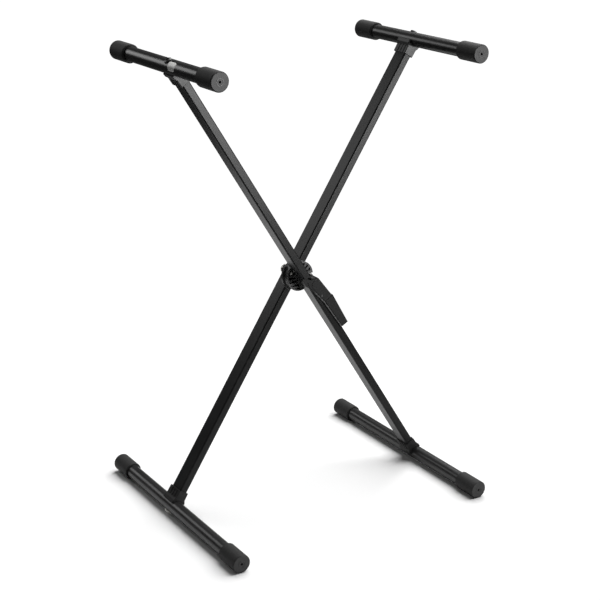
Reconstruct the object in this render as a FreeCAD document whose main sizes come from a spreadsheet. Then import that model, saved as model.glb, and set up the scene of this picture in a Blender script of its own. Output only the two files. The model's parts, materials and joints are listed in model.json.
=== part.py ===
import FreeCAD, Part
import math
import os
import re

import Sketcher

Vector = FreeCAD.Vector
Rotation = FreeCAD.Rotation

# A single-brace folding X stand for a keyboard. Two rectangular legs cross at a pivot bolt, each carries a
# round foot tube and a round arm tube, and a squeeze trigger on the front leg locks a notched plate on the
# rear one. Origin: on the floor under the pivot. +X to the right, +Y to the back, +Z up.
#
# Pieces of a leg are modelled in that leg's own frame and placed by it: x across the leg, z up along it,
# y to the back, with the origin on the pivot's axis.

doc = FreeCAD.newDocument("keyboard_stand")
sheet = doc.addObject("Spreadsheet::Sheet", "Sizes")

SIZES = {
    # legs
    "leg_angle": 32.46,
    "leg_reach": 470.0,
    "leg_width": 15.0,
    "leg_depth": 30.0,
    "leg_wall": 1.5,
    "leg_corner": 2.5,
    "leg_gap": 14.4,
    # round tubes and their rubber caps
    "tube_radius": 12.7,
    "tube_wall": 1.5,
    "arm_length": 352.0,
    "foot_length": 455.0,
    "cap_radius": 16.25,
    "cap_length": 50.0,
    "cap_end": 6.0,
    "cap_hole": 2.2,
    "cap_round": 1.8,
    "cap_ring_in": 5.2,
    "cap_ring_out": 6.4,
    "cap_ring_rise": 0.5,
    "cap_ring_slope": 0.2,
    # saddles between leg and tube
    "saddle_floor": 2.3,
    "saddle_length": 31.0,
    "saddle_side": 2.2,
    "saddle_cheek": 2.0,
    "saddle_wing": 13.6,
    "saddle_wing_low": 12.0,
    "saddle_wing_top": 6.0,
    "saddle_rib_rise": 1.1,
    "saddle_rib_width": 3.4,
    "saddle_rib_pitch": 8.0,
    "saddle_taper": 0.4,
    "saddle_round": 0.9,
    "anchor_length": 22.0,
    "bolt_radius": 4.0,
    "bolt_play": 0.1,
    "bolt_head": 6.6,
    "bolt_dome": 3.2,
    "bolt_skirt": 2.6,
    "bolt_bite": 19.0,
    # pivot
    "pivot_radius": 5.0,
    "pivot_play": 0.08,
    "seat_play": 0.05,
    "bush_radius": 7.0,
    "washer_radius": 10.5,
    "washer_thick": 1.4,
    "washer_gap": 0.3,
    "nut_width": 16.0,
    "nut_thick": 8.0,
    "pivot_tail": 1.6,
    "head_radius": 5.9,
    "head_thick": 5.0,
    "head_socket": 3.4,
    "access_radius": 5.2,
    "head_round": 1.2,
    "washer_round": 0.4,
    "nut_round": 0.7,
    # hub
    "cover_radius": 27.5,
    "cover_rim": 4.9,
    "cover_groove_deep": 3.5,
    "cover_groove_wide": 3.7,
    "cover_groove_pitch": 7.1,
    "cover_groove_first": 5.1,
    "cover_margin": 3.2,
    "cover_band": 8.6,
    "cover_front_gap": 0.3,
    "cover_window_from": -64.0,
    "cover_window_to": 5.0,
    "cover_window_root": 15.0,
    "pocket_in": 17.2,
    "pocket_out": 24.2,
    "pocket_angle": 14.0,
    "pocket_first": 26.6,
    "pocket_pitch": 21.9,
    "wall_rise": 5.0,
    "wall_thick": 2.0,
    "wall_half": 17.0,
    "rear_cover_radius": 27.0,
    "rear_skirt_radius": 30.5,
    "rear_skirt_from": 146.0,
    "rear_skirt_turn": 94.0,
    "rear_lobe_radius": 4.6,
    "plate_radius": 22.0,
    "plate_thick": 4.0,
    "plate_front": 1.7,
    "notch_step": 19.5,
    "notch_root": 19.75,
    "notch_root_half": 2.0,
    "notch_mouth_half": 3.3,
    "notch_mouth": 23.0,
    "lock_angle": -38.0,
    "rivet_radius": 1.6,
    "rivet_place": 13.5,
    "rivet_head": 2.8,
    "pawl_rivet_head": 2.1,
    "screw_head": 2.6,
    "screw_rise": 1.3,
    "screw_across": -10.8,
    "screw_up": 17.0,
    "screw_radius": 1.3,
    "screw_boss": 3.4,
    "screw_slot": 0.8,
    "screw_round": 0.7,
    "rivet_rise": 1.2,
    # trigger
    "plate_gap": 0.5,
    "sheet_thick": 2.0,
    "pin_across": 4.6,
    "pin_down": 42.0,
    "pin_radius": 2.5,
    "pin_play": 0.06,
    "pin_round": 0.4,
    "grip_thick": 1.2,
    "grip_from": 54.5,
    "grip_to": 121.5,
    "grip_round": 0.8,
    "lever_round": 1.2,
    "lever_bend_from": 16.0,
    "bead_rise": 1.0,
    "bead_round": 0.7,
    "groove_deep": 1.2,
    "cheek_across": -11.8,
    "cheek_thick": 1.7,
    "cheek_deep": 7.0,
    "pawl_front": 1.4,
    "pawl_back": 1.8,
    "tooth_tip": 22.3,
    "tooth_tip_half": 1.4,
    "tooth_base_half": 2.2,
    "tooth_long": 3.0,
    "tooth_slip": 0.6,
    "spring_radius": 3.6,
    "spring_wire": 0.55,
    "spring_pitch": 2.3,
    "spring_down": 66.0,
    "spring_gap": 0.1,
    "spring_reach": 19.35,
    "seat_radius": 2.7,
    "seat_rise": 3.0,
    # blank label on the left arm
    "label_along": -41.5,
    "label_across": -6.2,
    "label_long": 24.0,
    "label_wide": 11.6,
    "label_thick": 0.25,
    "label_corner": 4.5,
}

for row, (alias, size) in enumerate(SIZES.items(), start=1):
    sheet.set(f"A{row}", alias)
    sheet.set(f"B{row}", str(size))
    sheet.setAlias(f"B{row}", alias)
doc.recompute()

WORD = re.compile(r"\b(" + "|".join(sorted(SIZES, key=len, reverse=True)) + r")\b")
SUB_PARTS = []

# Distances that several pieces share, as expressions of the sheet's sizes.
PIVOT_Z = "leg_reach * cos(leg_angle) + cap_radius"
LEG_Y = "(leg_gap + leg_depth) / 2"
LEG_FRONT = "-(leg_gap / 2 + leg_depth)"
LEG_BACK = "-leg_gap / 2"
LEG_END = "leg_reach - tube_radius - saddle_floor"
HALF_WIDTH = "leg_width / 2"
LEG_INSIDE_WIDE = "leg_width - 2 * leg_wall"
LEG_INSIDE_DEEP = "leg_depth - 2 * leg_wall"
PLATE_NEAR = f"{LEG_FRONT} - plate_gap - sheet_thick"
PLATE_FAR = f"{LEG_FRONT} - plate_gap"
FLANGE_NEAR = f"{LEG_BACK} + plate_gap"
FLANGE_FAR = f"{LEG_BACK} + plate_gap + sheet_thick"
COVER_INSIDE = "-plate_front - cover_front_gap"
PLATE_BACK = "plate_thick - plate_front"
COVER_BACK = "plate_thick - plate_front - cover_front_gap"


def full(text):
    """The expression with each size's name pointing at the sheet."""
    return WORD.sub(r"Sizes.\1", str(text))


def value(text):
    """What the expression comes to now, as a plain number."""
    result = sheet.evalExpression(full(text))
    return float(getattr(result, "Value", result))


def bind(target, **expressions):
    """Bind properties to expressions: a double underscore stands for a dot."""
    for path, text in expressions.items():
        target.setExpression(path.replace("__", "."), full(text))


def place(target, x="0", y="0", z=PIVOT_Z, turn="0"):
    """Put an object at a place of the part's frame, turned about Y."""
    any_turn = 10  # sets the axis; the turn itself is bound below
    target.Placement = FreeCAD.Placement(Vector(), Rotation(Vector(0, 1, 0), any_turn))
    bind(target, Placement__Base__x=x, Placement__Base__y=y, Placement__Base__z=z)
    bind(target, Placement__Rotation__Angle=turn)


def lean(side):
    """A leg's turn about Y: the front leg, side -1, leans left and the rear one right."""
    return "leg_angle" if side > 0 else "-leg_angle"


def finish(target, label):
    """Name a finished sub-part and keep it for the checks and the export."""
    target.Label = label
    SUB_PARTS.append(target)
    return target


# ---------------------------------------------------------------- sketched bodies

PLANES = {"across": "XZ_Plane", "floor": "XY_Plane", "side": "YZ_Plane"}


def new_body(label, side=0, **placing):
    body = doc.addObject("PartDesign::Body", label)
    place(body, turn=lean(side) if side else "0", **placing)
    return finish(body, label)


def new_sketch(body, plane, level="0"):
    """A sketch on one of the body's own planes: "across" faces the front, its level counted along +Y."""
    sketch = body.newObject("Sketcher::SketchObject", "Sketch")
    roles = {f.Role: f for f in body.Origin.OriginFeatures}
    sketch.AttachmentSupport = (roles[PLANES[plane]], [""])
    sketch.MapMode = "FlatFace"
    offset = f"-({level})" if plane == "across" else level
    bind(sketch, AttachmentOffset__Base__z=offset)
    return sketch


def pin_point(sketch, geometry, end, x, y):
    """Hold a sketch point at x, y, both expressions."""
    for kind, text, axis in (("DistanceX", x, -2), ("DistanceY", y, -1)):
        number = value(text)
        if abs(number) < 1e-9:
            sketch.addConstraint(Sketcher.Constraint("PointOnObject", geometry, end, axis))
            continue
        index = sketch.addConstraint(Sketcher.Constraint(kind, -1, 1, geometry, end, number))
        sketch.setExpression(f"Constraints[{index}]", full(text))


def draw_outline(sketch, points):
    """A closed outline of straight lines through points given as pairs of expressions."""
    spots = [Vector(value(x), value(y), 0) for x, y in points]
    first = sketch.GeometryCount
    count = len(spots)
    for i, spot in enumerate(spots):
        sketch.addGeometry(Part.LineSegment(spot, spots[(i + 1) % count]), False)
    for i, (x, y) in enumerate(points):
        follower = first + (i + 1) % count
        sketch.addConstraint(Sketcher.Constraint("Coincident", first + i, 2, follower, 1))
        pin_point(sketch, first + i, 1, x, y)


def draw_box(sketch, x, y, wide, high):
    """A rectangle about the point x, y."""
    left, right = f"{x} - ({wide}) / 2", f"{x} + ({wide}) / 2"
    low, top = f"{y} - ({high}) / 2", f"{y} + ({high}) / 2"
    draw_outline(sketch, [(left, low), (right, low), (right, top), (left, top)])


def draw_circle(sketch, x, y, radius):
    centre = Vector(value(x), value(y), 0)
    index = sketch.addGeometry(Part.Circle(centre, Vector(0, 0, 1), value(radius)), False)
    pin_point(sketch, index, 3, x, y)
    size = sketch.addConstraint(Sketcher.Constraint("Radius", index, value(radius)))
    sketch.setExpression(f"Constraints[{size}]", full(radius))


def pad(body, sketch, near, far):
    """Pad an "across" sketch, drawn at level near, back to level far."""
    feature = body.newObject("PartDesign::Pad", "Pad")
    feature.Profile = sketch
    feature.Reversed = True
    bind(feature, Length=f"({far}) - ({near})")
    doc.recompute()
    return feature


def pad_between(body, near, far, draw):
    """A pad from y = near to y = far, with draw filling its sketch."""
    sketch = new_sketch(body, "across", near)
    draw(sketch)
    return pad(body, sketch, near, far)


def pad_both_ways(body, plane, length, draw, level="0"):
    sketch = new_sketch(body, plane, level)
    draw(sketch)
    feature = body.newObject("PartDesign::Pad", "Pad")
    feature.Profile = sketch
    feature.Midplane = True
    bind(feature, Length=length)
    doc.recompute()
    return feature


def cut_both_ways(body, plane, length, draw, level="0"):
    """Pocket to both sides of a plane, and check that it took something away."""
    before = body.Shape.Volume
    sketch = new_sketch(body, plane, level)
    draw(sketch)
    feature = body.newObject("PartDesign::Pocket", "Pocket")
    feature.Profile = sketch
    feature.Midplane = True
    bind(feature, Length=length)
    doc.recompute()
    if body.Shape.Volume > before - 0.1:
        raise RuntimeError(f"{body.Label}: a pocket cuts nothing")
    return feature


def revolve(body, plane, points, axis):
    sketch = new_sketch(body, plane)
    draw_outline(sketch, points)
    feature = body.newObject("PartDesign::Revolution", "Revolution")
    feature.Profile = sketch
    feature.ReferenceAxis = (sketch, [axis])
    feature.Angle = 360
    doc.recompute()
    return feature


def round_edges(body, radius, wanted):
    """Fillet the edges of the body's tip for which wanted(edge) is true."""
    base = body.Tip
    names = [f"Edge{i + 1}" for i, edge in enumerate(base.Shape.Edges) if wanted(edge)]
    if not names:
        raise RuntimeError(f"{body.Label}: no edges to round")
    feature = body.newObject("PartDesign::Fillet", "Fillet")
    feature.Base = (base, names)
    bind(feature, Radius=radius)
    doc.recompute()
    return feature


def runs_along(edge, axis):
    """True for a straight edge parallel to an axis."""
    if not isinstance(edge.Curve, Part.Line):
        return False
    return abs(abs(edge.Curve.Direction.dot(axis)) - 1) < 1e-6


def is_side_edge(edge):
    """True for a straight edge that doesn't run from front to back."""
    return isinstance(edge.Curve, Part.Line) and abs(edge.Curve.Direction.y) < 1e-6


def is_round(edge, radius):
    """True for a circle, or an arc of one, of this radius."""
    return isinstance(edge.Curve, Part.Circle) and abs(edge.Curve.Radius - value(radius)) < 1e-6


def lies_at(edge, level):
    """True for an edge that lies wholly at y = level."""
    box = edge.BoundBox
    return max(abs(box.YMin - value(level)), abs(box.YMax - value(level))) < 1e-6


# ---------------------------------------------------------------- primitive solids


def cylinder(radius, near, far, x="0", z="0", turn=None):
    """A cylinder along +Y from y = near to y = far; turn = (from, sweep) degrees makes a sector of it."""
    rod = doc.addObject("Part::Cylinder", "Rod")
    bind(rod, Radius=radius, Height=f"({far}) - ({near})")
    start = "0"
    if turn:
        start, sweep = turn
        bind(rod, Angle=sweep)
    spin = Rotation(Vector(0, 1, 0), -value(start)) * Rotation(Vector(1, 0, 0), 90)
    spot = Vector(value(x), value(far), value(z))
    rod.Placement = FreeCAD.Placement(spot, spin)
    bind(rod, Placement__Base__x=x, Placement__Base__y=far, Placement__Base__z=z)
    return rod


def block(x, near, z, wide, far, high, turn="0"):
    """A box from x, near, z, then turned about the pivot's axis, anticlockwise as seen from the front."""
    box = doc.addObject("Part::Box", "Block")
    bind(box, Length=wide, Width=f"({far}) - ({near})", Height=high)
    angle = math.radians(value(turn))
    corner_x, corner_z = value(x), value(z)
    spot = Vector(
        corner_x * math.cos(angle) - corner_z * math.sin(angle),
        value(near),
        corner_x * math.sin(angle) + corner_z * math.cos(angle),
    )
    box.Placement = FreeCAD.Placement(spot, Rotation(Vector(0, 1, 0), -value(turn)))
    bind(box, Placement__Base__y=near)
    return box


def join(pieces):
    fused = doc.addObject("Part::MultiFuse", "Join")
    fused.Shapes = pieces
    doc.recompute()
    return fused


def take_away(base, tool):
    cut = doc.addObject("Part::Cut", "Cut")
    cut.Base = base
    cut.Tool = tool
    doc.recompute()
    if cut.Shape.Volume > base.Shape.Volume - 0.1:
        raise RuntimeError("a cut takes nothing away")
    return cut


def overlap(base, tool):
    common = doc.addObject("Part::Common", "Common")
    common.Base = base
    common.Tool = tool
    doc.recompute()
    return common


# ---------------------------------------------------------------- legs, tubes, caps


def make_leg(label, side):
    """A rectangular steel tube with rounded corners, drilled for the pivot."""
    middle = f"{side} * {LEG_Y}"
    body = new_body(label, side)
    pad_both_ways(body, "floor", f"2 * ({LEG_END})",
                  lambda s: draw_box(s, "0", middle, "leg_width", "leg_depth"))
    up = Vector(0, 0, 1)
    round_edges(body, "leg_corner", lambda e: runs_along(e, up))
    cut_both_ways(body, "floor", "3 * leg_reach",
                  lambda s: draw_box(s, "0", middle, LEG_INSIDE_WIDE, LEG_INSIDE_DEEP))
    hole = "bush_radius + seat_play" if side > 0 else "pivot_radius + seat_play"
    cut_both_ways(body, "across", "4 * leg_depth", lambda s: draw_circle(s, "0", "0", hole))
    if side < 0:
        cut_both_ways(body, "across", "4 * leg_depth",
                      lambda s: draw_circle(s, "pin_across", "-pin_down", "pin_radius + seat_play"))
        cut_both_ways(body, "across", "8 * leg_wall",
                      lambda s: draw_circle(s, "0", "0", "access_radius"), LEG_FRONT)
    rivet_y = f"{side} * leg_gap / 2"
    for end in (-1, 1):
        cut_both_ways(body, "across", "4 * leg_wall",
                      lambda s: draw_circle(s, "0", f"{end} * rivet_place", "rivet_radius"), rivet_y)


def make_tube(label, side, end, length):
    """A round tube along Y at a leg's upper or lower end, drilled for its bolt."""
    body = new_body(label, side)
    axis = f"{end} * leg_reach"
    long = f"{length} - 2 * cap_end"
    pad_both_ways(body, "across", long, lambda s: draw_circle(s, "0", axis, "tube_radius"))
    cut_both_ways(body, "across", "2 * foot_length",
                  lambda s: draw_circle(s, "0", axis, "tube_radius - tube_wall"))
    cut_both_ways(body, "floor", "4 * tube_radius",
                  lambda s: draw_circle(s, "0", f"{side} * {LEG_Y}", "bolt_radius + bolt_play"), axis)


def make_cap(label, side, end, length, way):
    """A rubber cap pushed over a tube's end: closed but for a small hole inside a raised ring."""
    body = new_body(
        label,
        side,
        x=f"{side} * {end} * leg_reach * sin(leg_angle)",
        y=f"{way} * {length} / 2",
        z=f"{PIVOT_Z} + {end} * leg_reach * cos(leg_angle)",
    )
    depth = [
        ("cap_hole", "0"),
        ("cap_ring_in", "0"),
        ("cap_ring_in + cap_ring_slope", "-cap_ring_rise"),
        ("cap_ring_out - cap_ring_slope", "-cap_ring_rise"),
        ("cap_ring_out", "0"),
        ("cap_radius", "0"),
        ("cap_radius", "cap_length"),
        ("tube_radius", "cap_length"),
        ("tube_radius", "cap_end"),
        ("cap_hole", "cap_end"),
    ]
    revolve(body, "floor", [(r, f"-1 * {way} * ({y})") for r, y in depth], "V_Axis")
    round_edges(body, "cap_round", lambda e: is_round(e, "cap_radius"))


def make_saddle(label, side, end):
    """A moulded sleeve round a leg's end, hollowed to seat the round tube, with ribs on its two sides."""
    body = new_body(label, side)
    near = f"{side} * {LEG_Y} - leg_depth / 2 - saddle_cheek"
    far = f"{side} * {LEG_Y} + leg_depth / 2 + saddle_cheek"
    half = f"({HALF_WIDTH} + saddle_side)"

    def outline(sketch):
        right = [
            (half, "saddle_length"),
            (f"{half} + saddle_taper", "saddle_length - 14"),
            ("saddle_wing - 0.6", "saddle_wing_low"),
            ("saddle_wing", "saddle_wing_top"),
        ]
        left = [(f"-({x})", down) for x, down in reversed(right)]
        draw_outline(sketch, [(x, f"{end} * (leg_reach - ({down}))") for x, down in right + left])

    pad_between(body, near, far, outline)
    round_edges(body, "saddle_round", is_side_edge)
    rib_high = "saddle_length - 16"
    rib_middle = f"{end} * (leg_reach - saddle_length + 1.2 + ({rib_high}) / 2)"
    for place_y in (-1, 0, 1):
        level = f"{side} * {LEG_Y} + {place_y} * saddle_rib_pitch"
        pad_both_ways(
            body, "across", "saddle_rib_width",
            lambda s: draw_box(s, "0", rib_middle, f"2 * ({half} + saddle_rib_rise)", rib_high), level)
    pocket_high = "saddle_length - tube_radius - saddle_floor"
    pocket_middle = f"{end} * ({LEG_END} - ({pocket_high}) / 2)"
    cut_both_ways(body, "floor", pocket_high,
                  lambda s: draw_box(s, "0", f"{side} * {LEG_Y}", "leg_width", "leg_depth"), pocket_middle)
    cut_both_ways(body, "across", "4 * leg_depth",
                  lambda s: draw_circle(s, "0", f"{end} * leg_reach", "tube_radius"))
    cut_both_ways(body, "floor", "4 * saddle_floor",
                  lambda s: draw_circle(s, "0", f"{side} * {LEG_Y}", "bolt_radius + bolt_play"),
                  f"{end} * ({LEG_END})")


def make_anchor(label, side, end):
    """A threaded steel block inside a leg's end, which the tube's bolt pulls against."""
    body = new_body(label, side)
    middle = f"{end} * ({LEG_END} - anchor_length / 2)"
    y = f"{side} * {LEG_Y}"
    pad_both_ways(body, "floor", "anchor_length",
                  lambda s: draw_box(s, "0", y, LEG_INSIDE_WIDE, LEG_INSIDE_DEEP), middle)
    cut_both_ways(body, "floor", "2 * anchor_length",
                  lambda s: draw_circle(s, "0", y, "bolt_radius + bolt_play / 2"), middle)


def make_bolt(label, side, end):
    """A dome-headed bolt through the round tube into the anchor, its head hollowed to sit on the tube."""
    body = new_body(label, side, y=f"{side} * {LEG_Y}")
    top = "leg_reach + tube_radius"
    head = [
        ("0", f"{top} - bolt_skirt"),
        ("bolt_head", f"{top} - bolt_skirt"),
        ("bolt_head", f"{top} + bolt_dome * 0.30"),
        ("bolt_head * 0.86", f"{top} + bolt_dome * 0.66"),
        ("bolt_head * 0.56", f"{top} + bolt_dome * 0.92"),
        ("0", f"{top} + bolt_dome"),
    ]
    revolve(body, "across", [(x, f"{end} * ({z})") for x, z in head], "V_Axis")
    cut_both_ways(body, "across", "4 * bolt_head",
                  lambda s: draw_circle(s, "0", f"{end} * leg_reach", "tube_radius"))
    shank = f"{top} - ({LEG_END} - bolt_bite)"
    middle = f"{end} * ({LEG_END} - bolt_bite + ({shank}) / 2)"
    pad_both_ways(body, "floor", shank, lambda s: draw_circle(s, "0", "0", "bolt_radius"), middle)


for side, leg in ((-1, "front_leg"), (1, "rear_leg")):
    make_leg(leg, side)
    for end, length in ((1, "arm_length"), (-1, "foot_length")):
        hand = "left" if side * end < 0 else "right"
        kind = "arm" if end > 0 else "foot"
        name = f"{hand}_{kind}"
        make_tube(f"{name}_tube", side, end, length)
        make_saddle(f"{name}_saddle", side, end)
        make_anchor(f"{name}_anchor", side, end)
        make_bolt(f"{name}_bolt", side, end)
        make_cap(f"{name}_front_cap", side, end, length, -1)
        make_cap(f"{name}_rear_cap", side, end, length, 1)


# ---------------------------------------------------------------- pivot


def make_pivot_bolt():
    """The pivot bolt: its head inside the front leg, reached through a hole, its shank out to the nut."""
    body = new_body("pivot_bolt", -1)
    seat = f"{LEG_BACK} - leg_wall"
    far = "leg_gap / 2 + leg_depth + washer_gap + washer_thick + nut_thick + pivot_tail"
    pad_between(body, seat, far, lambda s: draw_circle(s, "0", "0", "pivot_radius"))
    round_edges(body, "pivot_tail / 2", lambda e: lies_at(e, far))
    front = f"{seat} - head_thick"
    pad_between(body, front, seat, lambda s: draw_circle(s, "0", "0", "head_radius"))
    round_edges(body, "head_round", lambda e: lies_at(e, front))
    socket = [(f"head_socket * cos({a})", f"head_socket * sin({a})") for a in range(0, 360, 60)]
    cut_both_ways(body, "across", "head_thick", lambda s: draw_outline(s, socket), front)


def make_bush():
    """A plain bush pressed through the rear leg, its hub cover and the notched plate."""
    body = new_body("pivot_bush", 1)
    pad_between(body, "-plate_front", "leg_gap / 2 + leg_depth",
                lambda s: draw_circle(s, "0", "0", "bush_radius"))
    cut_both_ways(body, "across", "8 * leg_depth",
                  lambda s: draw_circle(s, "0", "0", "pivot_radius + pivot_play"))


def make_washer():
    body = new_body("pivot_washer", -1)
    near = "leg_gap / 2 + leg_depth + washer_gap"
    pad_between(body, near, f"{near} + washer_thick", lambda s: draw_circle(s, "0", "0", "washer_radius"))
    cut_both_ways(body, "across", "8 * leg_depth",
                  lambda s: draw_circle(s, "0", "0", "pivot_radius + seat_play"))
    round_edges(body, "washer_round", lambda e: is_round(e, "washer_radius"))


def make_nut():
    """The pivot's hexagonal locknut, with a domed collar."""
    body = new_body("pivot_locknut", -1)
    near = "leg_gap / 2 + leg_depth + washer_gap + washer_thick"
    reach = "nut_width / sqrt(3)"
    corners = [(f"{reach} * cos({a})", f"{reach} * sin({a})") for a in range(0, 360, 60)]
    pad_between(body, near, f"{near} + nut_thick * 0.72", lambda s: draw_outline(s, corners))
    round_edges(body, "nut_round", lambda e: is_side_edge(e) and not lies_at(e, near))
    pad_between(body, f"{near} + nut_thick * 0.5", f"{near} + nut_thick",
                lambda s: draw_circle(s, "0", "0", "nut_width / 2 - 1"))
    cut_both_ways(body, "across", "8 * leg_depth",
                  lambda s: draw_circle(s, "0", "0", "pivot_radius + seat_play"))


make_pivot_bolt()
make_bush()
make_washer()
make_nut()


# ---------------------------------------------------------------- hub


def make_notched_plate():
    """The steel locking plate on the rear leg, notched at each height and when folded flat."""
    body = new_body("notched_plate", 1)
    back = PLATE_BACK
    pad_between(body, "-plate_front", back, lambda s: draw_circle(s, "0", "0", "plate_radius"))
    cut_both_ways(body, "across", "8 * plate_thick",
                  lambda s: draw_circle(s, "0", "0", "bush_radius + seat_play"))
    for end in (-1, 1):
        cut_both_ways(body, "across", "8 * plate_thick",
                      lambda s: draw_circle(s, "0", f"{end} * rivet_place", "rivet_radius"))
    for step in range(-3, 3):
        angle = f"(lock_angle + 2 * leg_angle + {step} * notch_step)"

        def corner(reach, aside):
            return (f"{reach} * cos({angle}) - ({aside}) * sin({angle})",
                    f"{reach} * sin({angle}) + ({aside}) * cos({angle})")

        outline = [
            corner("notch_root", "-notch_root_half"),
            corner("notch_mouth", "-notch_mouth_half"),
            corner("notch_mouth", "notch_mouth_half"),
            corner("notch_root", "notch_root_half"),
        ]
        cut_both_ways(body, "across", "8 * plate_thick", lambda s: draw_outline(s, outline))


def make_front_cover():
    """The ribbed cover fixed behind the front leg: grooves on its left, pockets on its right, and a window
    where the pawl works."""
    disc = cylinder("cover_radius", LEG_BACK, COVER_BACK)
    tools = [
        cylinder("cover_radius - cover_rim", COVER_INSIDE, f"{COVER_BACK} + 1"),
        cylinder("pivot_radius + seat_play", f"{LEG_BACK} - 1", f"{COVER_BACK} + 1"),
    ]
    sweep = "cover_window_to - cover_window_from"
    window = cylinder("2 * cover_radius", f"{LEG_BACK} - 1", f"{COVER_BACK} + 1",
                      turn=("cover_window_from", sweep))
    hub = cylinder("cover_window_root", f"{LEG_BACK} - 2", f"{COVER_BACK} + 2")
    tools.append(take_away(window, hub))
    floor = f"{LEG_BACK} + cover_groove_deep"
    strips = []
    for step in range(-4, 3):
        middle = f"cover_groove_first + {step} * cover_groove_pitch"
        strips.append(block("-2 * cover_radius", f"{LEG_BACK} - 1", f"{middle} - cover_groove_wide / 2",
                            "2 * cover_radius", floor, "cover_groove_wide"))
    bounds = cylinder("cover_radius - cover_margin", f"{LEG_BACK} - 1", floor)
    band = block("-cover_band", f"{LEG_BACK} - 2", "-2 * cover_radius",
                 "4 * cover_radius", f"{floor} + 1", "4 * cover_radius", "leg_angle")
    tools.append(take_away(overlap(join(strips), bounds), band))
    for step in range(3):
        start = f"pocket_first + {step} * pocket_pitch - pocket_angle / 2"
        wedge = cylinder("pocket_out", f"{LEG_BACK} - 1", floor, turn=(start, "pocket_angle"))
        inner = cylinder("pocket_in", f"{LEG_BACK} - 2", f"{floor} + 1")
        tools.append(take_away(wedge, inner))
    for end in (-1, 1):
        along = f"{end} * rivet_place"
        tools.append(cylinder("rivet_radius", f"{LEG_BACK} - 1", f"{COVER_BACK} + 1",
                              f"-({along}) * sin(leg_angle)", f"({along}) * cos(leg_angle)"))
    left = block(f"-{HALF_WIDTH} - wall_thick", f"{LEG_BACK} - wall_rise", "-wall_half",
                 "wall_thick", LEG_BACK, "2 * wall_half - 4", "leg_angle")
    right = block(HALF_WIDTH, f"{LEG_BACK} - wall_rise", "2",
                  "wall_thick", LEG_BACK, "wall_half - 2", "leg_angle")
    screw_x = "screw_across * cos(leg_angle) - screw_up * sin(leg_angle)"
    screw_z = "screw_across * sin(leg_angle) + screw_up * cos(leg_angle)"
    boss = cylinder("screw_boss", LEG_BACK, COVER_INSIDE, screw_x, screw_z)
    screw_hole = cylinder("screw_radius", f"{LEG_BACK} - 1", COVER_INSIDE, screw_x, screw_z)
    ribbed = join([take_away(disc, join(tools)), boss, left, right])
    cover = take_away(ribbed, screw_hole)
    place(cover)
    finish(cover, "hub_cover_front")


def make_rear_cover():
    """The cover fixed before the rear leg, with a raised skirt on its lower left and a round stop lobe."""
    near, far = PLATE_BACK, "leg_gap / 2"
    lobe_x = "(rear_skirt_radius - rear_lobe_radius + 1.4) * cos(rear_skirt_from)"
    lobe_z = "(rear_skirt_radius - rear_lobe_radius + 1.4) * sin(rear_skirt_from)"
    pieces = [
        cylinder("rear_cover_radius", near, far),
        cylinder("rear_skirt_radius", near, far, turn=("rear_skirt_from", "rear_skirt_turn")),
        cylinder("rear_lobe_radius", near, far, lobe_x, lobe_z),
    ]
    for edge in (f"-{HALF_WIDTH} - wall_thick", HALF_WIDTH):
        pieces.append(block(edge, far, "-wall_half", "wall_thick", f"{far} + wall_rise",
                            "2 * wall_half", "-leg_angle"))
    tools = [cylinder("bush_radius + seat_play", f"{near} - 1", f"{far} + 1")]
    for end in (-1, 1):
        along = f"{end} * rivet_place"
        tools.append(cylinder("rivet_radius", f"{near} - 1", f"{far} + 1",
                              f"({along}) * sin(leg_angle)", f"({along}) * cos(leg_angle)"))
    cover = take_away(join(pieces), join(tools))
    place(cover)
    finish(cover, "hub_cover_rear")


def make_rivets(label, side, near, far, spots, head_near, head_far, head_radius="rivet_head"):
    """Round rivets along Y at places across and along a leg, in one group, each with one head."""
    rivets = []
    for across, along in spots:
        shank = cylinder("rivet_radius", near, far, across, along)
        head = cylinder(head_radius, head_near, head_far, across, along)
        rivets.append(join([shank, head]))
    group = doc.addObject("Part::Compound", label)
    group.Links = rivets
    doc.recompute()
    place(group, turn=lean(side))
    finish(group, label)


def make_cover_screw():
    """The bright pan-head screw on the front cover, left of the leg."""
    body = new_body("cover_screw", -1)
    pad_between(body, LEG_BACK, COVER_INSIDE,
                lambda s: draw_circle(s, "screw_across", "screw_up", "screw_radius"))
    front = f"{LEG_BACK} - screw_rise"
    pad_between(body, front, LEG_BACK,
                lambda s: draw_circle(s, "screw_across", "screw_up", "screw_head"))
    round_edges(body, "screw_round", lambda e: lies_at(e, front))
    cut_both_ways(body, "across", "0.8 * screw_rise",
                  lambda s: draw_box(s, "screw_across", "screw_up", "screw_slot", "3 * screw_head"), front)


make_notched_plate()
make_front_cover()
make_rear_cover()
RIVET_SPOTS = [("0", "rivet_place"), ("0", "-rivet_place")]
make_rivets("plate_rivets", 1, "-plate_front", "leg_gap / 2 + leg_wall", RIVET_SPOTS,
            "leg_gap / 2 + leg_wall", "leg_gap / 2 + leg_wall + rivet_rise")
make_rivets("cover_rivets", -1, f"{LEG_BACK} - leg_wall", COVER_INSIDE, RIVET_SPOTS,
            f"{LEG_BACK} - leg_wall - rivet_rise", f"{LEG_BACK} - leg_wall")
make_cover_screw()


# ---------------------------------------------------------------- trigger

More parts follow.
